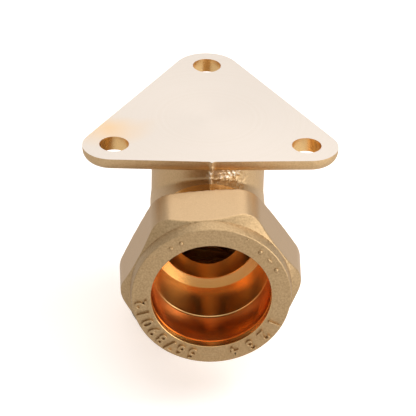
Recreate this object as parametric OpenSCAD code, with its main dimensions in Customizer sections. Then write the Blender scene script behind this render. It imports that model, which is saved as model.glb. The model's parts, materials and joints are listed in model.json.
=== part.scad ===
// Wall plate elbow for a 22 mm copper pipe and a 3/4 inch tapped outlet.
// One forged brass body carries a three-hole wall plate, a pipe leg and a tapped boss.
// A hexagon nut and a soft copper olive clamp the pipe in the leg.
// Frame: origin at the centre of the wall face, +Z into the wall, the pipe leaves towards -Y.
// Threads are shown as plain cylinders: a male one at its crests, the boss at its tapping bore.

/* [Wall plate] */
// Diameter of the circle through the centres of the three screw holes
hole_pcd = 42; // [40:0.5:60]
// Diameter of each screw hole
screw_hole_d = 5.6; // [3.6:0.1:7]
// Thickness of the plate
plate_t = 2.85; // [2.4:0.05:4]
// Radius that rounds the plate's edge on the side away from the wall
under_round = 2.1; // [1:0.1:2.2]
// Metal between the screw holes' centre lines and the two slanted edges
side_margin = 5.9; // [4.8:0.1:9]
// Metal between the two front holes' centre line and the straight front edge
front_margin = 6.3; // [4.8:0.1:9]
// Draft of the front edge's two halves, which meet at the forging's parting line
front_draft = 1.7; // [0.5:0.1:3]
// Radius of the two front corners
front_corner_r = 5.6; // [3:0.05:8]
// Radius of the rear corner
rear_corner_r = 6.5; // [3:0.05:8]

/* [Body] */
// Distance from the wall face down to the pipe's axis
axis_drop = 18.55; // [16:0.05:30]
// Wall of the neck round the cored hole
neck_wall = 1.7; // [1.2:0.1:4]
// Fillet between the plate and the neck
neck_fillet = 0.4; // [0.2:0.1:1]
// Wall of the leg's root, next to the neck
root_wall = 2.1; // [1.2:0.1:3]
// Length of the root that stands clear of the neck
root_len = 3; // [2:0.1:6]
// Metal between the step behind the thread and the pipe's stop, along the leg
stop_wall = 0.75; // [0.6:0.05:2]
// Width of the ledge that stops the pipe
stop_ledge = 2; // [1:0.1:3]
// How much wider on each side the cored hole is than the waterway in the leg
core_step_out = 0.2; // [0.1:0.05:0.4]
// Metal between the cored hole's end and the waterway's top
core_rise = 0.4; // [0.2:0.1:1]

/* [Compression joint] */
// Outside diameter of the copper pipe that fits the joint
pipe_d = 22; // [15:0.05:28]
// How much wider the leg's socket is than the pipe
socket_play = 0.2; // [0.1:0.02:0.3]
// Length of the socket from its stop to the seat for the olive
socket_len = 9.7; // [8:0.1:14]
// Slope of the olive's seats and ends, measured from the pipe's axis
seat_angle = 30; // [25:1:40]
// How much wider on each side the seat's mouth is than the olive
mouth_play = 0.15; // [0.1:0.05:0.3]
// Metal between the seat's mouth and the thread's crests
mouth_wall = 0.92; // [0.8:0.02:2]
// Pitch of the thread, 14 turns to the inch
thread_pitch = 1.814; // [1.2:0.001:2]

/* [Olive] */
// How much wider the olive's bore is than the pipe
olive_play = 0.16; // [0.1:0.02:0.3]
// Wall of the olive at its middle
olive_wall = 1.07; // [0.8:0.01:1.4]
// Wall of the olive at each of its ends
olive_edge = 0.25; // [0.2:0.05:0.4]
// Length of the olive
olive_len = 7.6; // [6:0.1:8.6]
// Radial gap between the olive and each seat
seat_gap = 0.05; // [0.03:0.01:0.1]

/* [Nut] */
// Wall between the nut's bore and its flats
nut_wall = 2.13; // [1.8:0.01:5]
// Length of the nut from its face to its back
nut_len = 12.7; // [12.2:0.1:18]
// Radius that rounds the six corners
nut_corner_r = 5.2; // [2:0.1:6]
// How far the round collar at the face lies inside the flats
collar_inset = 0.7; // [0.3:0.1:1.5]
// Length of that collar
collar_len = 1; // [0.6:0.1:2]
// How much wider the hole in the face is than the pipe
nut_play = 0.3; // [0.2:0.02:0.6]
// Length of the hole in the face
lip_len = 1.45; // [1:0.05:2.5]
// Radial clearance between the nut's plain bore and the thread's crests
thread_gap = 0.05; // [0.03:0.01:0.1]
// Angle that the nut is turned from having a flat level on top
nut_turn_angle = 5.3; // [0:0.1:59]

/* [Outlet boss] */
// Distance from the pipe's axis to the boss's end
outlet_reach = 24.5; // [23:0.1:34]
// Tapping diameter of the boss
tapping_d = 24.12; // [19:0.02:30.3]
// Wall of the boss round the tapping bore
boss_wall = 3.1; // [3:0.02:5]
// Length of the boss's straight wall
boss_len = 13.5; // [13.5:0.1:16]
// Length of the tapped wall
tapped_len = 13; // [10:0.1:13.4]
// Depth of the countersink at the outlet
countersink = 1.39; // [1:0.01:2]

/* [Edges] */
// Small bevel on turned edges
edge_bevel = 0.3; // [0.1:0.05:0.4]
// Bevel that starts and ends the male thread
thread_bevel = 0.8; // [0.4:0.1:0.9]

/* [Hidden] */
$fn = 96;

// Overrun of every cut past the face that it opens
over = 1;
brass = [0.76, 0.60, 0.38];
bright_brass = [0.86, 0.74, 0.55];
copper = [0.72, 0.35, 0.18];

// Plate: equilateral, so its inscribed radius is a quarter of the hole circle.
// Each front corner circle touches a slanted edge and one drafted half of the front edge.
corner_angle = 30;
side_reach = hole_pcd / 4 + side_margin;
front_reach = hole_pcd / 4 + front_margin;
front_corner_rise = front_corner_r / cos(front_draft) - front_reach;
front_corner_x = (side_reach - front_corner_r - front_corner_rise * sin(corner_angle))
    / (cos(corner_angle) + sin(corner_angle) * tan(front_draft));
front_corner_y = front_corner_rise + front_corner_x * tan(front_draft);
rear_corner_y = (side_reach - rear_corner_r) / sin(corner_angle);
// Angle between two points of a round corner, and of the rounded under edge
arc_step_angle = 7.5;
under_step_angle = 30;

// Bores, each a named step from the pipe that fits the socket
socket_d = pipe_d + socket_play;
leg_bore_d = socket_d - 2 * stop_ledge;
core_d = leg_bore_d + 2 * core_step_out;
neck_d = core_d + 2 * neck_wall;
leg_root_d = leg_bore_d + 2 * root_wall;
// The stop is a shallow cone, as a drill leaves it
stop_slope_share = 0.2;
stop_cone = stop_slope_share * stop_ledge;

// Olive, seat and thread, each a named wall outside the last
olive_bore_d = pipe_d + olive_play;
olive_end_d = olive_bore_d + 2 * olive_edge;
olive_d = olive_bore_d + 2 * olive_wall;
mouth_d = olive_d + 2 * mouth_play;
leg_thread_d = mouth_d + 2 * mouth_wall;
// A 55 degree pipe thread is 0.64 of its pitch deep
thread_depth_share = 0.64;
relief_d = leg_thread_d - 2 * thread_depth_share * thread_pitch;

// Stations along the pipe's axis, measured from the neck's axis towards the nut
leg_step_at = neck_d / 2 + root_len;
stop_at = leg_step_at + stop_wall;
seat_at = stop_at + socket_len;
mouth_at = seat_at + (mouth_d - socket_d) / 2 / tan(seat_angle);
// The relief behind the thread is two turns long
relief_len = 2 * thread_pitch;
thread_start = leg_step_at + relief_len;

// The olive's ends lie parallel to their seats, one seat gap away
olive_taper = (olive_d - olive_end_d) / 2 / tan(seat_angle);
olive_at = seat_at + (olive_end_d / 2 + seat_gap - socket_d / 2) / tan(seat_angle);

// The nut's own seat sets how far out it stands
nut_hole_d = pipe_d + nut_play;
nut_seat_depth = lip_len + (olive_end_d / 2 + seat_gap - nut_hole_d / 2) / tan(seat_angle);
nut_face_at = olive_at + olive_len + nut_seat_depth;
nut_bore_d = leg_thread_d + 2 * thread_gap;
nut_bore_depth = lip_len + (nut_bore_d - nut_hole_d) / 2 / tan(seat_angle);
nut_flats = nut_bore_d + 2 * nut_wall;
collar_d = nut_flats - 2 * collar_inset;
nut_corner_reach = (nut_flats / 2 - nut_corner_r) / cos(corner_angle);
// The bevel starts just outside the flats at 45 degrees and then steepens towards the corners
flat_d = nut_flats + edge_bevel / 2;
corner_slope_share = 0.6;

// Outlet boss
boss_d = tapping_d + 2 * boss_wall;
countersink_d = tapping_d + 2 * countersink;
outlet_at = -axis_drop - outlet_reach;
boss_shoulder = (boss_d - neck_d) / 2;
tapped_end = countersink + tapped_len;
core_step = (tapping_d - core_d) / 2;
core_top = -axis_drop + leg_bore_d / 2 + core_rise;

// Turns a shape made along +Z so that it runs along the pipe's axis, out of the leg
module along_leg() {
    translate([0, 0, -axis_drop]) rotate([90, 0, 0]) children();
}

// Solid of revolution from points of radius and height
module turned(points) {
    rotate_extrude() polygon(points);
}

// Points of an arc round a centre, from one angle to another
function arc(centre, r, from, to) =
    let (steps = ceil(abs(to - from) / arc_step_angle))
        [for (i = [0 : steps]) let (a = from + (to - from) * i / steps) centre + r * [cos(a), sin(a)]];

// Rounded triangle of the wall plate at one height, drawn in all round by an inset.
// The forging's draft makes its front edge two slanted halves.
function plate_ring(inset, height) =
    let (
        front_right = arc([front_corner_x, front_corner_y], front_corner_r - inset, front_draft - 90, corner_angle),
        rear_right = arc([0, rear_corner_y], rear_corner_r - inset, corner_angle, 90),
        right = concat(front_right, rear_right),
        left = [for (i = [len(right) - 2 : -1 : 0]) [-right[i].x, right[i].y]]
    )
        [for (p = concat([[0, inset / cos(front_draft) - front_reach]], right, left)) [p.x, p.y, height]];

// Upright rim next to the wall, and below it the rounded under edge, as a stack of rings
module wall_plate() {
    rings = concat([plate_ring(0, 0)], [
        for (angle = [0 : under_step_angle : 90])
            plate_ring(under_round * (1 - cos(angle)), under_round * (1 - sin(angle)) - plate_t)
    ]);
    count = len(rings[0]);
    last = len(rings) - 1;
    polyhedron([for (ring = rings) each ring], concat(
        [[for (i = [count - 1 : -1 : 0]) i], [for (i = [0 : count - 1]) last * count + i]],
        [for (row = [0 : last - 1], i = [0 : count - 1]) let (next = (i + 1) % count)
            [row * count + i, row * count + next, (row + 1) * count + next, (row + 1) * count + i]]
    ));
}

// One hole at the rear corner and one at each front corner
module screw_holes() {
    for (turn = [0 : 120 : 240])
        rotate(90 + turn) translate([hole_pcd / 2, 0, -plate_t - over])
            cylinder(d = screw_hole_d, h = plate_t + 2 * over);
}

// Neck, shoulder and boss, with the fillet under the plate
module neck_and_boss() {
    neck_r = neck_d / 2;
    boss_r = boss_d / 2;
    fillet = arc([neck_r + neck_fillet, -plate_t - neck_fillet], neck_fillet, 90, 180);
    turned(concat([[0, -plate_t / 2], [neck_r + neck_fillet, -plate_t / 2]], fillet, [
        [neck_r, outlet_at + boss_len + boss_shoulder],
        [boss_r, outlet_at + boss_len],
        [boss_r, outlet_at + edge_bevel],
        [boss_r - edge_bevel, outlet_at],
        [0, outlet_at]
    ]));
}

// Outside of the pipe leg: root, relief and threaded end
module leg() {
    root_r = leg_root_d / 2;
    relief_r = relief_d / 2;
    crest_r = leg_thread_d / 2;
    rise = crest_r - relief_r;
    along_leg() turned([
        [0, 0],
        [root_r, 0],
        [root_r, leg_step_at],
        [relief_r - edge_bevel, leg_step_at],
        [relief_r, leg_step_at + edge_bevel],
        [relief_r, thread_start],
        [crest_r, thread_start + rise],
        [crest_r, mouth_at - thread_bevel],
        [crest_r - thread_bevel, mouth_at],
        [0, mouth_at]
    ]);
}

// Waterway, pipe stop, socket and the olive's seat, cut from the leg
module leg_bores() {
    along_leg() turned([
        [0, 0],
        [leg_bore_d / 2, 0],
        [leg_bore_d / 2, stop_at - stop_cone],
        [socket_d / 2, stop_at],
        [socket_d / 2, seat_at],
        [mouth_d / 2, mouth_at],
        [mouth_d / 2, mouth_at + over],
        [0, mouth_at + over]
    ]);
}

// Countersink, tapped wall and cored hole, cut from the boss upwards
module boss_bores() {
    turned([
        [0, outlet_at - over],
        [countersink_d / 2, outlet_at - over],
        [countersink_d / 2, outlet_at],
        [tapping_d / 2, outlet_at + countersink],
        [tapping_d / 2, outlet_at + tapped_end],
        [core_d / 2, outlet_at + tapped_end + core_step],
        [core_d / 2, core_top],
        [0, core_top]
    ]);
}

module elbow_body() {
    color(bright_brass) difference() {
        union() {
            wall_plate();
            neck_and_boss();
            leg();
        }
        screw_holes();
        leg_bores();
        boss_bores();
    }
}

// Hexagon with round corners, a flat on top: six corner circles and the flats between them
module hexagon_outline() {
    function toward(angle) = [cos(angle), sin(angle)];
    for (turn = [0 : 60 : 300]) rotate(turn) translate([nut_corner_reach, 0]) circle(r = nut_corner_r);
    polygon([
        for (turn = [0 : 60 : 300], side = [-corner_angle, corner_angle])
            nut_corner_reach * toward(turn) + nut_corner_r * toward(turn + side)
    ]);
}

// Turned envelope of the nut: collar and front bevels, widest past the corners
module nut_envelope() {
    collar_r = collar_d / 2;
    flat_r = flat_d / 2;
    wide_r = nut_corner_reach + nut_corner_r + over;
    turned([
        [0, 0],
        [collar_r - edge_bevel, 0],
        [collar_r, edge_bevel],
        [collar_r, collar_len],
        [flat_r, collar_len + flat_r - collar_r],
        [wide_r, collar_len + flat_r - collar_r + (wide_r - flat_r) / corner_slope_share],
        [wide_r, nut_len],
        [0, nut_len]
    ]);
}

// Hole in the face, seat for the olive and the bore that the thread fills
module nut_bores() {
    bore_r = nut_bore_d / 2;
    turned([
        [0, -over],
        [nut_hole_d / 2, -over],
        [nut_hole_d / 2, lip_len],
        [bore_r, nut_bore_depth],
        [bore_r, nut_len - edge_bevel],
        [bore_r + edge_bevel, nut_len],
        [bore_r + edge_bevel, nut_len + over],
        [0, nut_len + over]
    ]);
}

// The nut is made from its face backwards, then set on the leg face outwards
module compression_nut() {
    color(brass) along_leg() translate([0, 0, nut_face_at]) mirror([0, 0, 1]) rotate(nut_turn_angle)
        difference() {
            intersection() {
                linear_extrude(nut_len) hexagon_outline();
                nut_envelope();
            }
            nut_bores();
        }
}

module olive() {
    bore_r = olive_bore_d / 2;
    end_r = olive_end_d / 2;
    full_r = olive_d / 2;
    color(copper) along_leg() translate([0, 0, olive_at]) turned([
        [bore_r, 0],
        [end_r, 0],
        [full_r, olive_taper],
        [full_r, olive_len - olive_taper],
        [end_r, olive_len],
        [bore_r, olive_len]
    ]);
}

elbow_body();
compression_nut();
olive();
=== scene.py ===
# %% [markdown]
# Wall plate elbow, dressed for its portrait.
#
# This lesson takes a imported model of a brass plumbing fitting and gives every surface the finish
# that its maker left on it: forged skin, a milled plate, turned bores, cut threads and a copper ring.
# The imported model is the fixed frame. It says where everything is, and nothing here moves it.

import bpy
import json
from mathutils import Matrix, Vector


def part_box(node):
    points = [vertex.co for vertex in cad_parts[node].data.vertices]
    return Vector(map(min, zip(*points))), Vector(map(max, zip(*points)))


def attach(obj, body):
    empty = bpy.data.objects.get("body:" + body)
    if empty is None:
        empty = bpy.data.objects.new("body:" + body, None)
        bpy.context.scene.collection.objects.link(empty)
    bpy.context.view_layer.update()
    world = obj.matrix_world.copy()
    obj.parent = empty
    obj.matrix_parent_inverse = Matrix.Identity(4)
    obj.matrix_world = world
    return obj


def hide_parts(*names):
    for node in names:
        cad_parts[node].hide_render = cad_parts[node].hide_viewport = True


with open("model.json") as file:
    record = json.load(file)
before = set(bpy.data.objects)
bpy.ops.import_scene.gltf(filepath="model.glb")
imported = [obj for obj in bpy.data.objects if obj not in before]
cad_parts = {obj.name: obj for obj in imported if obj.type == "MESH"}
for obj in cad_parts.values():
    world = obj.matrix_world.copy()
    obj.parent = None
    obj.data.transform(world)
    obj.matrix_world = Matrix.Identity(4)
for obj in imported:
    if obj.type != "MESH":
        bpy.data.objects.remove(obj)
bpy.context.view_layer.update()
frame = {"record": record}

# %% Imports and the workshop's unit
import json
import math

import bmesh
import bpy
from mathutils import Matrix, Vector, noise

MM = 0.001
FULL_TURN = 2 * math.pi

# %% [markdown]
# A maker reads the main sizes off the drawing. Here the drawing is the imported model: the boxes of its
# nodes and the dimensions of its mounts. Everything is modelled in millimetres and scaled to metres as
# the very last step, because booleans and voxels behave better with numbers near one.

# %% Sizes taken from the frame, in millimetres
mounts = {mount["name"]: mount["dims"] for mount in frame["record"]["mounts"]}
body_low, body_high = (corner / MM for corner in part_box("elbow_body"))
nut_low, nut_high = (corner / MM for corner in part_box("compression_nut"))
olive_low, olive_high = (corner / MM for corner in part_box("olive"))

axis_z = (nut_low.z + nut_high.z) / 2
outlet_z = body_low.z
mouth_at = -body_low.y
nut_face_at = -nut_low.y
nut_back_at = -nut_high.y
socket_r = mounts["pipe_socket"]["r_mm"]
tapping_r = mounts["outlet"]["r_mm"]
print(f"pipe axis {axis_z:.2f}, outlet {outlet_z:.2f}")
print(f"leg's mouth {mouth_at:.2f}, nut's face {nut_face_at:.2f}")

# %% [markdown]
# The camera is a long lens that looks down at the nut. Its place was found by fitting the known edges
# of the part to the photograph, so the render can be laid over it. A long lens keeps the hexagon's
# sides nearly parallel, as product pictures do.

# %% Camera
azimuth = math.radians(-2.077)
elevation = math.radians(31.767)
roll = math.radians(1.495)
camera_distance = 454.04
aim_right = 0.2095
aim_up = -1.6915
sensor_mm = 36
picture_px = 416
focal_px = 2307.4

camera_data = bpy.data.cameras.new("camera")
camera_data.sensor_width = sensor_mm
camera_data.lens = sensor_mm * focal_px / picture_px
camera_data.clip_start = 0.01
camera = bpy.data.objects.new("camera", camera_data)
bpy.context.scene.collection.objects.link(camera)
bpy.context.scene.camera = camera

turn = Matrix.Rotation(azimuth, 4, "Z") @ Matrix.Rotation(math.pi / 2 - elevation, 4, "X")
right, up, back = (turn.col[i].to_3d() for i in range(3))
target = Vector((0, 0, axis_z)) + right * aim_right + up * aim_up
camera.matrix_world = (
    Matrix.Translation((target + back * camera_distance) * MM) @ turn @ Matrix.Rotation(roll, 4, "Z")
)
print(f"lens {camera_data.lens:.1f} mm, camera at", [round(c, 4) for c in camera.location])

# %% [markdown]
# Metal shows its surroundings, so the room matters as much as the lamps. This one is a white sweep. The
# camera sees it as pure white, and the metal sees it dimmer, which keeps its own colour deep. A long
# panel hangs overhead and makes every surface that looks up the brightest. A square key lamp on the
# right drops a soft shadow towards the lower left, and a low one in front on the same side lights the
# neck. All three are large, because small lamps would leave hard spots in the polished bores.

# %% World
scene = bpy.context.scene
scene.view_settings.view_transform = "Standard"
world = bpy.data.worlds.new("white_room")
world.use_nodes = True
scene.world = world


# %% A small helper that adds a node and fills its inputs
def add(tree, kind, inputs=None, **settings):
    """Adds a node. Each input gets a value, or a link from another node's output."""
    made = tree.nodes.new("ShaderNode" + kind)
    for name, value in settings.items():
        setattr(made, name, value)
    for socket, value in (inputs or {}).items():
        if isinstance(value, bpy.types.NodeSocket):
            tree.links.new(value, made.inputs[socket])
        else:
            made.inputs[socket].default_value = value
    return made


def seen_directly(tree):
    """1 where the camera or a view through glass looks, a share of it for mirror images, else 0."""
    path = add(tree, "LightPath")
    mirrored = add(tree, "Math", {0: path.outputs["Is Glossy Ray"], 1: mirror_share}, operation="MULTIPLY")
    camera_ray, glass_ray = path.outputs["Is Camera Ray"], path.outputs["Is Transmission Ray"]
    straight = add(tree, "Math", {0: camera_ray, 1: glass_ray}, operation="MAXIMUM")
    either = add(tree, "Math", {0: straight.outputs[0], 1: mirrored.outputs[0]}, operation="MAXIMUM")
    return either.outputs[0]


# %% White room
room_light = 0.5
mirror_share = 0.3
tree = world.node_tree
tree.nodes.clear()
shown = add(tree, "Background", {"Color": (1, 1, 1, 1), "Strength": 1.0})
lighting = add(tree, "Background", {"Color": (1, 1, 1, 1), "Strength": room_light})
choice = add(tree, "MixShader", {0: seen_directly(tree), 1: lighting.outputs[0], 2: shown.outputs[0]})
add(tree, "OutputWorld", {"Surface": choice.outputs[0]})


# %% Lamps
def soft_lamp(name, place, aim, size, watts, colour=(1, 1, 1)):
    """A rectangular lamp, places and sizes in millimetres, that faces the point aim."""
    data = bpy.data.lights.new(name, "AREA")
    data.shape = "RECTANGLE"
    data.size, data.size_y = (length * MM for length in size)
    data.energy = watts
    data.color = colour
    lamp = bpy.data.objects.new(name, data)
    lamp.location = Vector(place) * MM
    lamp.rotation_euler = (Vector(aim) - Vector(place)).to_track_quat("-Z", "Y").to_euler()
    scene.collection.objects.link(lamp)
    print(f"{name}: {watts} W")
    return lamp


fitting = (0, 0, axis_z)
soft_lamp("overhead", place=(60, 300, 450), aim=(60, 299, 0), size=(460, 1300), watts=1.95)
soft_lamp("key", place=(400, 40, 440), aim=fitting, size=(320, 320), watts=1.2)
soft_lamp("fill", place=(225, -205, 15), aim=fitting, size=(320, 260), watts=0.68)

# %% [markdown]
# The floor is a wide white sheet at the outlet's end face, which is what the part stands on. Seen by
# the camera, half of its brightness is a glow of its own, which keeps the sheet as white as the room,
# and the other half is dull paper that still darkens in the part's shadow. Mirror images get a share
# of the glow. It stops inside the outlet's ring, where the real paper lies in the dark, so the chamber
# behind the bores stays black.

# %% Floor
floor_half = 3.0
floor_dull = (0.55, 0.8)
floor_glow = 0.52
# The glow is warm, so that the part's shadow on the floor turns peach: painted light bounced off the brass.
bounce_glow_colour = (1, 0.87, 0.78, 1)
boss_r = 15.16
bm = bmesh.new()
bmesh.ops.create_grid(bm, x_segments=1, y_segments=1, size=floor_half)
bmesh.ops.translate(bm, verts=bm.verts, vec=(0, 0, outlet_z * MM))
mesh = bpy.data.meshes.new("floor")
bm.to_mesh(mesh)
bm.free()
floor = bpy.data.objects.new("floor", mesh)
scene.collection.objects.link(floor)

# %% White paper that glows, but not under the outlet
paper = bpy.data.materials.new("white_paper")
paper.use_nodes = True
tree = paper.node_tree
tree.nodes.clear()
place = add(tree, "TexCoord").outputs["Object"]
flat_place = add(tree, "VectorMath", {0: place, 1: (1, 1, 0)}, operation="MULTIPLY")
reach = add(tree, "VectorMath", {0: flat_place.outputs[0]}, operation="LENGTH")
open_floor = add(tree, "Math", {0: reach.outputs["Value"], 1: boss_r * MM}, operation="GREATER_THAN")
shown = add(tree, "Math", {0: seen_directly(tree), 1: open_floor.outputs[0]}, operation="MULTIPLY")
# Where shown is 0, in mirror images and inside the outlet's ring, the paper is greyer, 0.55 against 0.8:
# painted shade that dims the floor in the metal's reflections.
grey = add(tree, "MapRange", {"Value": shown.outputs[0], "To Min": floor_dull[0], "To Max": floor_dull[1]})
dull = add(tree, "BsdfDiffuse", {"Color": grey.outputs[0]})
glow = add(tree, "Emission", {"Color": bounce_glow_colour, "Strength": floor_glow})
dark = add(tree, "Emission", {"Strength": 0.0})
shine = add(tree, "MixShader", {0: shown.outputs[0], 1: dark.outputs[0], 2: glow.outputs[0]})
both = add(tree, "AddShader", {0: dull.outputs[0], 1: shine.outputs[0]})
add(tree, "OutputMaterial", {"Surface": both.outputs[0]})
floor.data.materials.append(paper)


# %% [markdown]
# Three effects come back on several finishes, so each is a node group, built once. The forge leaves a
# fine sandy skin. A lathe or a mill leaves rings round its axis, finer than the eye can count. Air
# leaves faint patches of a warmer colour. Each group only puts out heights and tones; the metal
# itself stays in the material.


# %% Starting a node group
def effect(name, inputs, outputs):
    """An empty group whose inputs are (name, kind, value) and whose outputs are names of tones."""
    tree = bpy.data.node_groups.new(name, "ShaderNodeTree")
    for socket, kind, value in inputs:
        made = tree.interface.new_socket(socket, in_out="INPUT", socket_type="NodeSocket" + kind)
        if value is not None:
            made.default_value = value
    for socket in outputs:
        tree.interface.new_socket(socket, in_out="OUTPUT", socket_type="NodeSocketFloat")
    return tree, tree.nodes.new("NodeGroupInput"), tree.nodes.new("NodeGroupOutput")


def times(tree, a, b, plus=0.0):
    """a times b plus a number."""
    return add(tree, "Math", {0: a, 1: b, 2: plus}, operation="MULTIPLY_ADD").outputs[0]


# %% Sandy skin of a forging
tree, source, result = effect(
    "sandy_skin", [("Vector", "Vector", None), ("Grain", "Float", 3500.0)], ["Height", "Tone"]
)
lump_scale_share = 0.22
lump_height_share = 1.4
spot, grain = source.outputs["Vector"], source.outputs["Grain"]
grains = add(tree, "TexNoise", {"Vector": spot, "Scale": grain, "Detail": 3.0})
coarse = times(tree, grain, lump_scale_share)
lumps = add(tree, "TexNoise", {"Vector": spot, "Scale": coarse, "Detail": 2.0})
height = times(tree, lumps.outputs["Fac"], lump_height_share, grains.outputs["Fac"])
tone = add(tree, "MapRange", {"Value": grains.outputs["Fac"], "From Min": 0.3, "From Max": 0.7}, clamp=True)
tree.links.new(height, result.inputs["Height"])
tree.links.new(tone.outputs[0], result.inputs["Tone"])
sandy_skin = tree

# %% Rings left by a turning or milling tool
tree, source, result = effect(
    "tool_rings", [("Vector", "Vector", None), ("Rings", "Float", 4000.0)], ["Height", "Tone"]
)
broad_share = 0.08
spot = source.outputs["Vector"]
parts = add(tree, "SeparateXYZ", {0: spot})
flat = add(tree, "VectorMath", {0: spot, 1: (1, 1, 0)}, operation="MULTIPLY")
radius = add(tree, "VectorMath", {0: flat.outputs[0]}, operation="LENGTH")
along = add(tree, "Math", {0: radius.outputs["Value"], 1: parts.outputs["Z"]}, operation="ADD").outputs[0]
scaled = add(tree, "Math", {0: along, 1: source.outputs["Rings"]}, operation="MULTIPLY").outputs[0]
fine = add(tree, "TexNoise", {"W": scaled, "Scale": 1.0, "Detail": 2.0}, noise_dimensions="1D")
slow = times(tree, scaled, broad_share)
broad = add(tree, "TexNoise", {"W": slow, "Scale": 1.0}, noise_dimensions="1D")
mixed = add(tree, "Mix", {0: 0.5, 2: fine.outputs["Fac"], 3: broad.outputs["Fac"]}, data_type="FLOAT")
tree.links.new(fine.outputs["Fac"], result.inputs["Height"])
tree.links.new(mixed.outputs[0], result.inputs["Tone"])
tool_rings = tree

# %% Patches of tarnish
tree, source, result = effect(
    "tarnish",
    [
        ("Vector", "Vector", None),
        ("Patches", "Float", 45.0),
        ("Amount", "Float", 0.4),
        ("From", "Float", -1.0),
        ("To", "Float", 0.0),
    ],
    ["Tone"],
)
patch_from, patch_to = 0.42, 0.75
spot = source.outputs["Vector"]
patches = add(tree, "TexNoise", {"Vector": spot, "Scale": source.outputs["Patches"], "Detail": 3.0})
blotches = {"Value": patches.outputs["Fac"], "From Min": patch_from, "From Max": patch_to}
patchy = add(tree, "MapRange", blotches, clamp=True)
flat = add(tree, "VectorMath", {0: spot, 1: (1, 1, 0)}, operation="MULTIPLY")
radius = add(tree, "VectorMath", {0: flat.outputs[0]}, operation="LENGTH")
start, end = source.outputs["From"], source.outputs["To"]
limits = {"Value": radius.outputs["Value"], "From Min": start, "From Max": end}
outer = add(tree, "MapRange", limits, clamp=True)
amount = times(tree, outer.outputs[0], source.outputs["Amount"])
tree.links.new(times(tree, patchy.outputs[0], amount), result.inputs["Tone"])
tarnish = tree


# %% [markdown]
# Every finish is the same metal under a different tool, so they share one plan: two colours mixed by
# an effect's tone, a roughness that follows it, a bump from its height and faint warm patches where
# air and fingers reached it. The metal is a Principled shader with Metallic at 1. Patterns read the
# object's own coordinates, turned so that the tool's axis is Z: upright for the plate and boss, level
# for the leg, nut and olive. A turned wall also stretches its highlights across the tool marks, so
# the shader's tangent runs along the tool's axis on a bore and outwards on a flat face.


# %% Direction of the tool marks
upright_axis = (0, 0, 1)
level_axis = (0, 1, 0)
brush_lean = 0.4


def brushed_direction(tree, place, axis):
    """The direction in which tool marks stretch a highlight: along the axis, and outwards on a face."""
    centre = Vector((0, 0, axis_z * MM)) if axis == level_axis else Vector((0, 0, 0))
    across = Vector((1, 1, 1)) - Vector(axis)
    arm = add(tree, "VectorMath", {0: place, 1: centre}, operation="SUBTRACT")
    arm = add(tree, "VectorMath", {0: arm.outputs[0], 1: across}, operation="MULTIPLY")
    arm = add(tree, "VectorMath", {0: arm.outputs[0]}, operation="NORMALIZE")
    lean = add(tree, "VectorMath", {0: arm.outputs[0], 1: Vector(axis) * brush_lean}, operation="ADD")
    into_world = {"vector_type": "VECTOR", "convert_from": "OBJECT", "convert_to": "WORLD"}
    return add(tree, "VectorTransform", {0: lean.outputs[0]}, **into_world).outputs[0]


# %% Building a metal
stain_core = 0.3


def metal(
    name, light, dark, rough, marks, scale, bump,
    axis=upright_axis, brushed=0.0, warm=None, warmth=0.4, stain=None,
):
    """A brass or copper finish.

    rough is (low, high) and bump a height in millimetres. The warm colour shows in faint patches all
    over, or only at the place stain, which is (x, y, reach) in millimetres.
    """
    material = bpy.data.materials.new(name)
    material.use_nodes = True
    tree = material.node_tree
    tree.nodes.clear()
    place = add(tree, "TexCoord").outputs["Object"]
    lying = place
    if axis == level_axis:
        turn_up = {"Vector": place, "Location": (0, -axis_z * MM, 0), "Rotation": (-math.pi / 2, 0, 0)}
        lying = add(tree, "Mapping", turn_up).outputs[0]
    pattern = add(tree, "Group", node_tree=marks)
    tree.links.new(lying, pattern.inputs["Vector"])
    pattern.inputs[1].default_value = scale
    tone = pattern.outputs["Tone"]
    colour = add(tree, "Mix", {0: tone, 6: (*dark, 1), 7: (*light, 1)}, data_type="RGBA").outputs[2]
    if warm:
        air = add(tree, "Group", node_tree=tarnish)
        middle = add(tree, "Mapping", {"Vector": place}).inputs["Location"]
        tree.links.new(middle.node.outputs[0], air.inputs["Vector"])
        air.inputs["Amount"].default_value = warmth
        if stain:
            middle.default_value = (-stain[0] * MM, -stain[1] * MM, 0)
            air.inputs["From"].default_value = stain[2] * MM
            air.inputs["To"].default_value = stain[2] * stain_core * MM
        aired = {0: air.outputs["Tone"], 6: colour, 7: (*warm, 1)}
        colour = add(tree, "Mix", aired, data_type="RGBA").outputs[2]
    gloss = add(tree, "MapRange", {"Value": tone, "To Min": rough[0], "To Max": rough[1]})
    height = pattern.outputs["Height"]
    relief = add(tree, "Bump", {"Height": height, "Distance": bump * MM, "Strength": 1.0})
    skin = add(
        tree,
        "BsdfPrincipled",
        {"Base Color": colour, "Metallic": 1.0, "Roughness": gloss.outputs[0], "Normal": relief.outputs[0]},
    )
    if brushed:
        skin.inputs["Anisotropic"].default_value = brushed
        tree.links.new(brushed_direction(tree, place, axis), skin.inputs["Tangent"])
    add(tree, "OutputMaterial", {"Surface": skin.outputs[0]})
    print("finish", name)
    return material


# %% Forged finishes
# The body's skin is lighter than the nut's. Part of that is painted: light on the neck and the plate's rim
# in the body's colour, and shade on the nut's face in the nut's.
forged = metal(
    "forged_brass", (0.70, 0.50, 0.285), (0.56, 0.385, 0.20), (0.42, 0.56), sandy_skin, 3200.0, 0.035,
    warm=(0.52, 0.30, 0.12), warmth=0.4,
)
forged_nut = metal(
    "forged_nut_brass", (0.545, 0.378, 0.205), (0.39, 0.258, 0.127), (0.4, 0.52), sandy_skin, 2700.0, 0.06,
    warm=(0.50, 0.29, 0.12), warmth=0.4,
)
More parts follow.
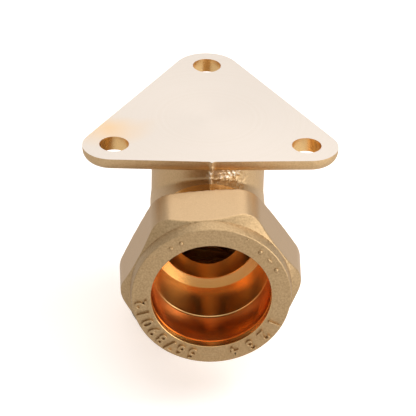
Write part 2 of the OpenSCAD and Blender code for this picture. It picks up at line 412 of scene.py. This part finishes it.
# Lighter and smoother than the skin: bare metal, and partly a painted highlight on the neck.
bare_and_sheen = metal(
    "bare_brass", (0.88, 0.76, 0.60), (0.76, 0.62, 0.45), (0.34, 0.46), sandy_skin, 3200.0, 0.05,
)
trimmed = metal(
    "trimmed_brass", (0.58, 0.395, 0.22), (0.51, 0.34, 0.18), (0.34, 0.42), sandy_skin, 3600.0, 0.02,
    warm=(0.56, 0.33, 0.14), warmth=0.3,
)

# %% Machined finishes
milled = metal(
    "milled_brass", (0.68, 0.605, 0.54), (0.63, 0.55, 0.47), (0.28, 0.38), tool_rings, 1500.0, 0.006,
    brushed=0.4, warm=(0.74, 0.50, 0.27), warmth=1.3, stain=(-20, -1, 11),
)
turned_upright = metal(
    "turned_brass_upright", (0.84, 0.56, 0.26), (0.78, 0.50, 0.21), (0.24, 0.32), tool_rings, 20000.0, 0.003,
    brushed=0.7,
)
turned_level = metal(
    "turned_brass_level", (0.84, 0.54, 0.23), (0.78, 0.47, 0.175), (0.18, 0.25),
    tool_rings, 20000.0, 0.003, axis=level_axis, brushed=0.8,
)
copper = metal(
    "turned_copper", (0.93, 0.33, 0.08), (0.87, 0.27, 0.06), (0.19, 0.25), tool_rings, 20000.0, 0.002,
    axis=level_axis, brushed=0.9,
)


# %% [markdown]
# A few helpers do the shop work. One writes a closed shape to an object, one turns a profile round an
# axis, and one draws a flat sheet whose corners are true arcs. The others lay an upright shape along
# the pipe's axis, and join or cut two solids.


# %% Writing a shape, and turning a profile
weld = 1e-4


def keep(bm, name, material):
    """Closes seams and poles, points the faces outwards and writes the shape to a new object."""
    bmesh.ops.remove_doubles(bm, verts=bm.verts, dist=weld)
    bmesh.ops.recalc_face_normals(bm, faces=bm.faces)
    mesh = bpy.data.meshes.new(name)
    bm.to_mesh(mesh)
    bm.free()
    mesh.materials.append(material)
    made = bpy.data.objects.new(name, mesh)
    scene.collection.objects.link(made)
    return made


def turned(name, points, material, steps=96):
    """A solid of revolution about Z from points of radius and height."""
    bm = bmesh.new()
    verts = [bm.verts.new((r, 0, z)) for r, z in points]
    closing = [] if points[0][0] == points[-1][0] == 0 else [(verts[-1], verts[0])]
    edges = [bm.edges.new(pair) for pair in [*zip(verts, verts[1:]), *closing]]
    bmesh.ops.spin(
        bm, geom=verts + edges, cent=(0, 0, 0), axis=(0, 0, 1), angle=FULL_TURN, steps=steps, use_merge=True
    )
    return keep(bm, name, material)


# %% Drawing a flat sheet with round corners
def rounded_sheet(corners, z, step_angle=math.radians(5)):
    """A flat convex face. Each corner is (centre, radius, from angle, to angle), swept by spin."""
    bm = bmesh.new()
    for centre, radius, start, end in corners:
        x, y = centre[0] + radius * math.cos(start), centre[1] + radius * math.sin(start)
        first = bm.verts.new((x, y, z))
        steps = math.ceil((end - start) / step_angle)
        bmesh.ops.spin(bm, geom=[first], cent=(*centre, z), axis=(0, 0, 1), angle=end - start, steps=steps)
    bmesh.ops.delete(bm, geom=bm.edges[:], context="EDGES_FACES")
    bmesh.ops.remove_doubles(bm, verts=bm.verts, dist=weld)
    around = sorted(bm.verts, key=lambda v: math.atan2(v.co.y, v.co.x))
    bm.faces.new(around)
    return bm


# %% Laying a shape along the leg, and joining or cutting solids
def lay_along_leg(thing):
    """Turns a shape made along +Z so that it runs along the pipe's axis, out of the leg."""
    thing.data.transform(Matrix.Translation((0, 0, axis_z)) @ Matrix.Rotation(math.pi / 2, 4, "X"))
    return thing


def settle(thing):
    """Replaces an object's mesh by what its modifiers make of it."""
    graph = bpy.context.evaluated_depsgraph_get()
    made = bpy.data.meshes.new_from_object(thing.evaluated_get(graph))
    old = thing.data
    thing.modifiers.clear()
    thing.data = made
    bpy.data.meshes.remove(old)
    return thing


def work(target, operation, *tools):
    """Joins (UNION), cuts (DIFFERENCE) or trims (INTERSECT) a solid with each tool, and uses them up."""
    for tool in tools:
        step = target.modifiers.new(operation.lower(), "BOOLEAN")
        step.solver = "MANIFOLD"
        step.operation = operation
        step.object = tool
        step.material_mode = "TRANSFER"
        settle(target)
        bpy.data.objects.remove(tool)
    return target


# %% [markdown]
# The body is one forging. A forging has no sharp inside corners, so the plain shapes are joined, the
# whole is rebuilt from small voxels and relaxed, which melts the corners together as hot brass fills
# a die. The plate is made thicker than it will be: the mill takes the rest off later, and that leaves
# the crisp top edge which the real plate has.

# %% Sizes of the plate
hole_circle_r = mounts["screw_holes"]["pcd_mm"] / 2
screw_hole_r = mounts["screw_holes"]["hole_r_mm"]
plate_t = 2.85
under_round = 2.1
side_margin = 5.9
front_margin = 6.3
side_reach = hole_circle_r / 2 + side_margin
front_reach = hole_circle_r / 2 + front_margin
front_draft = math.radians(1.7)
front_corner_r = 5.6
rear_corner_r = 6.5
milling_stock = 1.0

# %% Places of the plate's corner circles
corner_lean = math.radians(30)
front_rise = front_corner_r / math.cos(front_draft) - front_reach
front_x = (side_reach - front_corner_r - front_rise * math.sin(corner_lean)) / (
    math.cos(corner_lean) + math.sin(corner_lean) * math.tan(front_draft)
)
front_y = front_rise + front_x * math.tan(front_draft)
rear_y = (side_reach - rear_corner_r) / math.sin(corner_lean)
straight_down = -math.pi / 2
corners = [
    ((front_x, front_y), front_corner_r, straight_down + front_draft, corner_lean),
    ((0, rear_y), rear_corner_r, corner_lean, math.pi - corner_lean),
    ((-front_x, front_y), front_corner_r, math.pi - corner_lean, -straight_down * 3 - front_draft),
    ((0, 0), front_reach, straight_down, straight_down),
]

# %% Plate with its under edge rounded
bm = rounded_sheet(corners, -plate_t)
lifted = bmesh.ops.extrude_face_region(bm, geom=bm.faces[:])
lifted_verts = [part for part in lifted["geom"] if isinstance(part, bmesh.types.BMVert)]
bmesh.ops.translate(bm, verts=lifted_verts, vec=(0, 0, plate_t + milling_stock))
under_edge = [e for e in bm.edges if all(v.co.z < -plate_t + 0.01 for v in e.verts)]
bmesh.ops.bevel(
    bm,
    geom=under_edge,
    offset=under_round,
    affect="EDGES",
    segments=5,
    profile=0.5,
    material=-1,
    clamp_overlap=False,
)
blank = keep(bm, "elbow_forging", forged)
plate_half = max(v.co.x for v in blank.data.vertices)
print(f"plate half width {plate_half:.2f}, frame {body_high.x:.2f}")

# %% Neck and boss
neck_r = 11.0
boss_len = 13.5
boss_top_z = outlet_z + boss_len
facing_stock = 0.6
neck = turned(
    "neck",
    [
        (0, milling_stock / 2),
        (neck_r, milling_stock / 2),
        (neck_r, boss_top_z + boss_r - neck_r),
        (boss_r, boss_top_z),
        (boss_r, outlet_z - facing_stock),
        (0, outlet_z - facing_stock),
    ],
    forged,
)
work(blank, "UNION", neck)

# %% Root of the leg
leg_root_r = 11.2
leg_step_at = 14.0
root_overlap = 0.8
root_to = leg_step_at + root_overlap
root = lay_along_leg(turned("root", [(0, 0), (leg_root_r, 0), (leg_root_r, root_to), (0, root_to)], forged))
work(blank, "UNION", root)


# %% Melting the corners together
def soften(thing, voxel, rounds):
    """Rebuilds a solid from voxels and relaxes it, so that its corners run together."""
    step = thing.modifiers.new("voxels", "REMESH")
    step.mode = "VOXEL"
    step.voxel_size = voxel
    settle(thing)
    bm = bmesh.new()
    bm.from_mesh(thing.data)
    all_axes = {"use_axis_x": True, "use_axis_y": True, "use_axis_z": True}
    for _ in range(rounds):
        bmesh.ops.smooth_vert(bm, verts=bm.verts, factor=0.5, **all_axes)
    bm.to_mesh(thing.data)
    bm.free()
    print(thing.name, "has", len(thing.data.polygons), "faces")
    return thing


soften(blank, voxel=0.3, rounds=3)

# %% [markdown]
# The two halves of the die meet close to the plane x = 0, and metal squeezed between them leaves a thin
# rough line, the flash. It runs down the middle of the neck and across the plate's edge. A ridge is
# raised along that plane: tall enough to catch the light on one side and cast a shadow on the other,
# and uneven, because the flash was torn off and not cut. Beside it the tool pulled some of the skin
# off the neck as well, which left a small hollow. The flash and that hollow get a lighter, smoother
# brass: partly bare metal, and partly a painted highlight where the neck catches the light.

# %% Flash along the parting line
flash_half_width = 0.45
flash_height = 0.5
flash_to = hole_circle_r - screw_hole_r - 1
flash_top = 0.3
flash_at = 0.1
wander = 0.15
wander_scale = 0.9
torn_share = 0.85
torn_swing = 0.6
torn_scale = 1.9
bm = bmesh.new()
bm.from_mesh(blank.data)


def near_flash(v):
    """Whether a vertex is close enough to the parting plane to be moved with the flash."""
    return abs(v.co.x) < 1.6 * flash_half_width and v.co.y < flash_to and v.co.z < flash_top


near = [e for e in bm.edges if all(near_flash(v) for v in e.verts)]
bmesh.ops.subdivide_edges(bm, edges=near, cuts=2, use_grid_fill=True)
bm.normal_update()
for v in bm.verts:
    ridge = flash_at + wander * noise.noise(Vector((0, v.co.y, v.co.z)) * wander_scale)
    side = abs(v.co.x - ridge) / flash_half_width
    if side < 1 and v.co.y < flash_to:
        torn = torn_share + torn_swing * noise.noise(v.co * torn_scale)
        v.co += v.normal * flash_height * torn * (1 - side)

# %% Torn skin on the neck, right of the flash
scar_at = 4.2
scar_half = 4.0
scar_low = -10.0
scar_depth = 0.34
scar_scale = 1.7


def in_scar(v):
    """Whether a vertex lies on the torn part of the neck's front."""
    return v.co.y < 0 and scar_low < v.co.z < -plate_t and abs(v.co.x - scar_at) < scar_half


scar_edges = [e for e in bm.edges if all(in_scar(v) for v in e.verts)]
bmesh.ops.subdivide_edges(bm, edges=scar_edges, cuts=1, use_grid_fill=True)
bm.normal_update()
for v in bm.verts:
    if in_scar(v):
        depth = scar_depth * (1 - abs(v.co.x - scar_at) / scar_half)
        v.co += v.normal * depth * noise.noise(v.co * scar_scale)

# %% Lighter metal on the flash and the torn skin: partly bare, partly a painted highlight
bright_at = (3.1, -5.6)
bright_half = (3.4, 1.7)
bright_flash = 0.3
bright_flash_low = -9.0
ragged_depth = 0.9
ragged_scale = 1.3
blank.data.materials.append(bare_and_sheen)
for face in bm.faces:
    middle = face.calc_center_median()
    across = (middle.x - bright_at[0]) / bright_half[0]
    down = (middle.z - bright_at[1]) / bright_half[1]
    ragged = across**2 + down**2 + ragged_depth * noise.noise(middle * ragged_scale)
    on_flash = abs(middle.x - flash_at) < bright_flash and middle.z > bright_flash_low
    if middle.y < 0 and middle.z < -plate_t and (ragged < 1 or on_flash):
        face.material_index = 1
bm.to_mesh(blank.data)
bm.free()

# %% [markdown]
# A pipe thread is a ridge wound round a core. Its section is one tooth, and spinning that section
# while it climbs makes the ridge, so the thread is a true helix and the nut's matches it. The teeth
# are 55 degrees, with flat-ended points a little rounded, and one turn climbs 1.814 millimetres.

# %% Thread
pitch = 1.814
depth_share = 0.64
tooth_depth = depth_share * pitch
flank = math.radians(27.5)
crest_half = pitch / 2 - (pitch / 4 + tooth_depth / 2 * math.tan(flank))
steps_per_turn = 72


def tooth(name, root_r, play, start, turns, material):
    """One tooth wound up a helix about Z, wider all round by play."""
    crest_r = root_r + tooth_depth
    spread = play / math.cos(flank)
    foot = crest_half + tooth_depth * math.tan(flank) + spread
    tip = crest_half + spread
    nick = 0.12
    flat_share = 0.55
    sunk = 0.25
    rounding = (crest_r - nick, tip + nick * math.tan(flank))
    half = [(root_r - sunk, foot), (root_r, foot), rounding, (crest_r, tip * flat_share)]
    section = [(r, -z) for r, z in half] + [(r, z) for r, z in reversed(half)]
    bm = bmesh.new()
    verts = [bm.verts.new((r, 0, start + z)) for r, z in section]
    face = bm.faces.new(verts)
    bmesh.ops.spin(
        bm,
        geom=[face, *face.edges, *verts],
        cent=(0, 0, 0),
        axis=(0, 0, 1),
        dvec=(0, 0, pitch / steps_per_turn),
        angle=FULL_TURN * turns,
        steps=int(steps_per_turn * turns),
    )
    return keep(bm, name, material)


# %% Threaded end of the leg
leg_thread_r = 13.22
relief_r = leg_thread_r - tooth_depth
thread_start = leg_step_at + 2 * pitch
thread_bevel = 0.8
edge = 0.3
break_edge = 0.12
thread_phase = thread_start - pitch
leg_thread_turns = 6.5
crest_play = 0.04
lead_in = 1.0
thread_root_r = relief_r + 0.03
core = [(0, leg_step_at), (thread_root_r, leg_step_at), (thread_root_r, mouth_at), (0, mouth_at)]
threaded = turned("threaded_end", core, turned_level)
leg_tooth = tooth("leg_tooth", thread_root_r, 0, thread_phase, leg_thread_turns, turned_level)
work(threaded, "UNION", leg_tooth)
rise = leg_thread_r - relief_r
envelope = turned(
    "envelope",
    [
        (0, leg_step_at - lead_in),
        (relief_r - lead_in - break_edge, leg_step_at - lead_in),
        (relief_r, leg_step_at + break_edge),
        (relief_r, thread_start),
        (leg_thread_r + crest_play, thread_start + rise),
        (leg_thread_r + crest_play, mouth_at - thread_bevel),
        (leg_thread_r - thread_bevel, mouth_at),
        (0, mouth_at),
    ],
    turned_level,
)
work(threaded, "INTERSECT", envelope)
lay_along_leg(threaded)
print("threaded end has", len(threaded.data.polygons), "faces")

# %% [markdown]
# Now the forging goes to the machines. The boss's end is faced, the threaded end joins the root, the
# plate is milled flat, and then the bores are cut. Each cutter carries the finish that its tool
# leaves, and the boolean hands that finish to the wall it cuts.

# %% Facing the boss's end and joining the threaded end
beyond = 3.0
end_cutter = turned(
    "end_cutter",
    [
        (0, outlet_z - beyond),
        (0, outlet_z),
        (boss_r - edge, outlet_z),
        (boss_r + beyond, outlet_z + edge + beyond),
        (boss_r + beyond, outlet_z - beyond),
    ],
    turned_upright,
)
work(blank, "DIFFERENCE", end_cutter)
work(blank, "UNION", threaded)

# %% Milling the plate's back face
bm = bmesh.new()
mill_size = 4 * side_reach
bmesh.ops.create_cube(bm, size=mill_size)
bmesh.ops.translate(bm, verts=bm.verts, vec=(0, 0, mill_size / 2))
mill = keep(bm, "mill", milled)
work(blank, "DIFFERENCE", mill)

# %% Drilling the three screw holes
drills = []
for i in range(3):
    drill = turned(
        f"drill_{i}",
        [(0, -plate_t - beyond), (screw_hole_r, -plate_t - beyond), (screw_hole_r, beyond), (0, beyond)],
        turned_upright,
        steps=64,
    )
    place = Matrix.Rotation(math.radians(90 + 120 * i), 4, "Z") @ Matrix.Translation((hole_circle_r, 0, 0))
    drill.data.transform(place)
    drills.append(drill)
work(blank, "DIFFERENCE", *drills)

# %% Waterway, pipe stop, socket and seat in the leg
seat_slope = math.tan(math.radians(30))
waterway_r = 9.1
stop_at = 14.75
stop_cone = 0.4
socket_len = 9.7
seat_at = stop_at + socket_len
mouth_r = 12.3
leg_bore = lay_along_leg(
    turned(
        "leg_bore",
        [
            (0, 0),
            (waterway_r, 0),
            (waterway_r, stop_at - stop_cone - break_edge),
            (waterway_r + break_edge, stop_at - stop_cone),
            (socket_r, stop_at),
            (socket_r, seat_at - break_edge),
            (socket_r + break_edge, seat_at),
            (socket_r + break_edge, seat_at + break_edge / seat_slope),
            (mouth_r, seat_at + (mouth_r - socket_r) / seat_slope),
            (mouth_r, mouth_at + beyond),
            (0, mouth_at + beyond),
        ],
        turned_level,
        steps=128,
    )
)
work(blank, "DIFFERENCE", leg_bore)

# %% Cored hole, tapped wall and countersink in the boss
core_r = 9.3
core_step_len = 0.4
core_rise = 0.4
countersink = 1.39
tapped_len = 13
tap_turns = 7.2
tapped_from = outlet_z + countersink
tapped_to = tapped_from + tapped_len
core_top = axis_z + waterway_r + core_rise
boss_bore = turned(
    "boss_bore",
    [
        (0, outlet_z - beyond),
        (tapping_r + countersink + beyond, outlet_z - beyond),
        (tapping_r + countersink, outlet_z),
        (tapping_r, tapped_from),
        (tapping_r, tapped_to),
        (core_r, tapped_to + core_step_len),
        (core_r, core_top),
        (0, core_top),
    ],
    turned_upright,
    steps=128,
)
tap = tooth("tap", tapping_r, 0, outlet_z, tap_turns, turned_upright)
work(boss_bore, "UNION", tap)
work(blank, "DIFFERENCE", boss_bore)

# %% [markdown]
# The last job on any piece is to go from the workshop's millimetres to metres, shade it smooth and
# keep its cut edges crisp. An edge that turns by more than 32 degrees stays sharp.


# %% Handing a piece over
crisp_angle = math.radians(32)


def hand_over(thing, name, body, slot, *nodes):
    """Scales a finished solid to metres and puts it on its body in place of its plain node."""
    thing.data.transform(Matrix.Scale(MM, 4))
    thing.name = name
    thing.data.name = name
    thing.data.shade_smooth()
    thing.data.set_sharp_from_angle(angle=crisp_angle)
    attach(thing, body)
    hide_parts(*nodes)
    triangles = sum(len(p.vertices) - 2 for p in thing.data.polygons)
    print(f"{name}: {triangles} triangles, finishes {[m.name for m in thing.data.materials]}")


hand_over(blank, "elbow", "elbow", "body_brass", "elbow_body")

# %% [markdown]
# The nut is forged too: a hexagon with round corners, cut back by a cone at each end, and in front a
# round collar that narrows a little. It starts as a six-sided prism with a slight draft, is trimmed by
# a turned envelope and is then rebuilt from fine voxels, which takes the sharpness off its edges. The
# collar is added after that, because it is crisp on the real nut, and the flats get a smoother finish.
# The nut sits five degrees off level, as a spanner left it.

# %% Nut: hexagon
flats_r = 15.4
nut_corner_r = 4.7
nut_draft = 0.34
nut_turn = math.radians(5.3)
nut_length = nut_face_at - nut_back_at
nut_corner_at = (flats_r - nut_corner_r) / math.cos(corner_lean)
hexagon = []
for i in range(6):
    angle = nut_turn + math.radians(60 * i)
    centre = (nut_corner_at * math.cos(angle), nut_corner_at * math.sin(angle))
    hexagon.append((centre, nut_corner_r, angle - corner_lean, angle + corner_lean))
bm = rounded_sheet(hexagon, nut_back_at)
grown = bmesh.ops.extrude_face_region(bm, geom=bm.faces[:])
grown_verts = [part for part in grown["geom"] if isinstance(part, bmesh.types.BMVert)]
bmesh.ops.translate(bm, verts=grown_verts, vec=(0, 0, nut_length))
front_share = (flats_r - nut_draft) / flats_r
bmesh.ops.scale(bm, verts=grown_verts, vec=(front_share, front_share, 1))
nut = keep(bm, "nut_forging", forged_nut)

# %% Nut: turned envelope
collar_r = 14.7
collar_foot_r = 15.0
collar_len = 2.4
wide_r = 19.0
bevel_slope = 1.15
back_slope = 0.3
foot_at = nut_face_at - collar_len
nut_envelope = turned(
    "nut_envelope",
    [
        (0, foot_at),
        (collar_foot_r, foot_at),
        (wide_r, foot_at - (wide_r - collar_foot_r) / bevel_slope),
        (wide_r, nut_back_at + (wide_r - flats_r) * back_slope),
        (flats_r, nut_back_at),
        (0, nut_back_at),
    ],
    forged_nut,
    steps=144,
)
work(nut, "INTERSECT", nut_envelope)
soften(nut, voxel=0.16, rounds=3)

# %% Nut: collar, turned after the forging and so still crisp
rim_bevel = 0.14
collar_sunk = 0.3
collar = turned(
    "collar",
    [
        (0, foot_at - collar_sunk),
        (collar_foot_r, foot_at - collar_sunk),
        (collar_foot_r, foot_at),
        (collar_r, nut_face_at - rim_bevel),
        (collar_r - rim_bevel, nut_face_at),
        (0, nut_face_at),
    ],
    forged_nut,
    steps=160,
)
work(nut, "UNION", collar)

# %% Nut: flats trimmed smooth
steepest = 0.3
foot_margin = 0.2
nut.data.materials.append(trimmed)
for face in nut.data.polygons:
    reach = math.hypot(face.center.x, face.center.y)
    behind_foot = face.center.z < foot_at - foot_margin
    if abs(face.normal.z) < steepest and behind_foot and reach > collar_r:
        face.material_index = 1

# %% [markdown]
# Forged nuts carry small raised marks on their face. This one gets only plain ones: pips, a bar and
# runs of single numerals, as on a dial. Each is made from a flat text object with a small bevel, turned
# into a mesh and joined to the face after the voxels, so that its edges stay clear.

# %% Nut: raised numerals, pips and bar
mark_r = 12.95
mark_rise = 0.5
mark_root = 0.5
mark_slope = 0.06
mark_offset = 0.02
pip_flatness = 0.8
numeral_size = 3.2
numeral_rows = [("1234", -26.3, -14.2), ("56789012", -104.9, -9.7)]


def on_face(angle, radius):
    """The place on the nut's face at an angle seen from in front, with the mark's top outwards."""
    out = Vector((math.cos(angle), math.sin(angle), 0))
    along = Vector((math.sin(angle), -math.cos(angle), 0))
    place = Matrix((along, out, Vector((0, 0, 1)))).transposed().to_4x4()
    place.translation = out * radius + Vector((0, 0, nut_face_at))
    return place


def numeral(text, angle):
    """One raised numeral, its sides sloped by a bevel."""
    letter = bpy.data.curves.new("numeral_" + text, "FONT")
    letter.body = text
    letter.size = numeral_size
    letter.align_x = "CENTER"
    letter.align_y = "CENTER"
    letter.bevel_depth = mark_slope
    letter.bevel_resolution = 0
    letter.offset = mark_offset
    letter.extrude = (mark_rise + mark_root) / 2 - mark_slope
    made = bpy.data.objects.new(letter.name, letter)
    scene.collection.objects.link(made)
    graph = bpy.context.evaluated_depsgraph_get()
    mesh = bpy.data.meshes.new_from_object(made.evaluated_get(graph))
    bpy.data.objects.remove(made)
    bm = bmesh.new()
    bm.from_mesh(mesh)
    bpy.data.meshes.remove(mesh)
    solid = keep(bm, "numeral_" + text, forged_nut)
    solid.data.transform(on_face(angle, mark_r) @ Matrix.Translation((0, 0, (mark_rise - mark_root) / 2)))
    return solid


def pip(angle, radius, size, stretch=1.0):
    """A raised round pip, or a bar if it is stretched along the rim."""
    bm = bmesh.new()
    bmesh.ops.create_uvsphere(bm, u_segments=24, v_segments=12, radius=size)
    bmesh.ops.scale(bm, verts=bm.verts, vec=(stretch, 1, pip_flatness))
    made = keep(bm, "pip", forged_nut)
    made.data.transform(on_face(math.radians(angle), radius))
    return made


marks = []
for row, first, step in numeral_rows:
    for i, text in enumerate(row):
        marks.append(numeral(text, math.radians(first + step * i)))
pips = [
    pip(125.8, mark_r, 0.42),
    pip(116.3, mark_r, 0.42),
    pip(63.3, 14.1, 0.2),
    pip(48.4, 13.2, 0.45),
    pip(37.3, 13.2, 0.3, stretch=2.4),
    pip(27.0, 13.2, 0.45),
]
work(nut, "UNION", *marks, *pips)
print("nut with its marks:", len(nut.data.polygons), "faces")

# %% Nut: bore, olive's seat and the inner thread
nut_hole_r = 11.15
lip_len = 1.45
relief_bore_r = leg_thread_r + 0.05
thread_play = 0.05
nut_minor_r = thread_root_r + thread_play
seat_end = lip_len + (relief_bore_r - nut_hole_r) / seat_slope
thread_from = 8.1
nut_thread_turns = 5.4
face_break = 0.06


def behind(depth):
    """Station on the pipe's axis at a depth behind the nut's face."""
    return nut_face_at - depth


nut_bore = turned(
    "nut_bore",
    [
        (0, behind(-beyond)),
        (nut_hole_r + face_break + beyond, behind(-beyond)),
        (nut_hole_r + face_break, behind(0)),
        (nut_hole_r, behind(face_break)),
        (nut_hole_r, behind(lip_len)),
        (relief_bore_r, behind(seat_end)),
        (relief_bore_r, behind(thread_from - (relief_bore_r - nut_minor_r))),
        (nut_minor_r, behind(thread_from)),
        (nut_minor_r, nut_back_at + (relief_bore_r + edge - nut_minor_r)),
        (relief_bore_r + edge, nut_back_at),
        (relief_bore_r + edge + beyond, nut_back_at - beyond),
        (0, nut_back_at - beyond),
    ],
    turned_level,
    steps=128,
)
nut_tooth = tooth(
    "nut_tooth", nut_minor_r, thread_play, thread_phase + pitch, nut_thread_turns, turned_level
)
work(nut_bore, "UNION", nut_tooth)
lay_along_leg(nut_bore)
lay_along_leg(nut)
work(nut, "DIFFERENCE", nut_bore)
hand_over(nut, "nut", "nut", "nut_brass", "compression_nut")

# %% [markdown]
# The olive is a soft copper ring, slightly barrel shaped, with both ends tapered. When the nut is
# tightened it bites into the pipe. A single profile is turned round the pipe's axis.

# %% Olive
olive_bore_r = 11.08
olive_r = olive_high.x
olive_end_r = 11.33
olive_from = -olive_high.y
olive_to = -olive_low.y
olive_taper = (olive_r - olive_end_r) / seat_slope
olive_round = 0.12
olive = lay_along_leg(
    turned(
        "olive_ring",
        [
            (olive_bore_r, olive_from + olive_round),
            (olive_bore_r + olive_round / 2, olive_from),
            (olive_end_r, olive_from),
            (olive_r, olive_from + olive_taper),
            (olive_r, olive_to - olive_taper),
            (olive_end_r, olive_to),
            (olive_bore_r + olive_round / 2, olive_to),
            (olive_bore_r, olive_to - olive_round),
        ],
        copper,
        steps=160,
    )
)
hand_over(olive, "olive_ring", "olive_ring", "olive_copper", "olive")
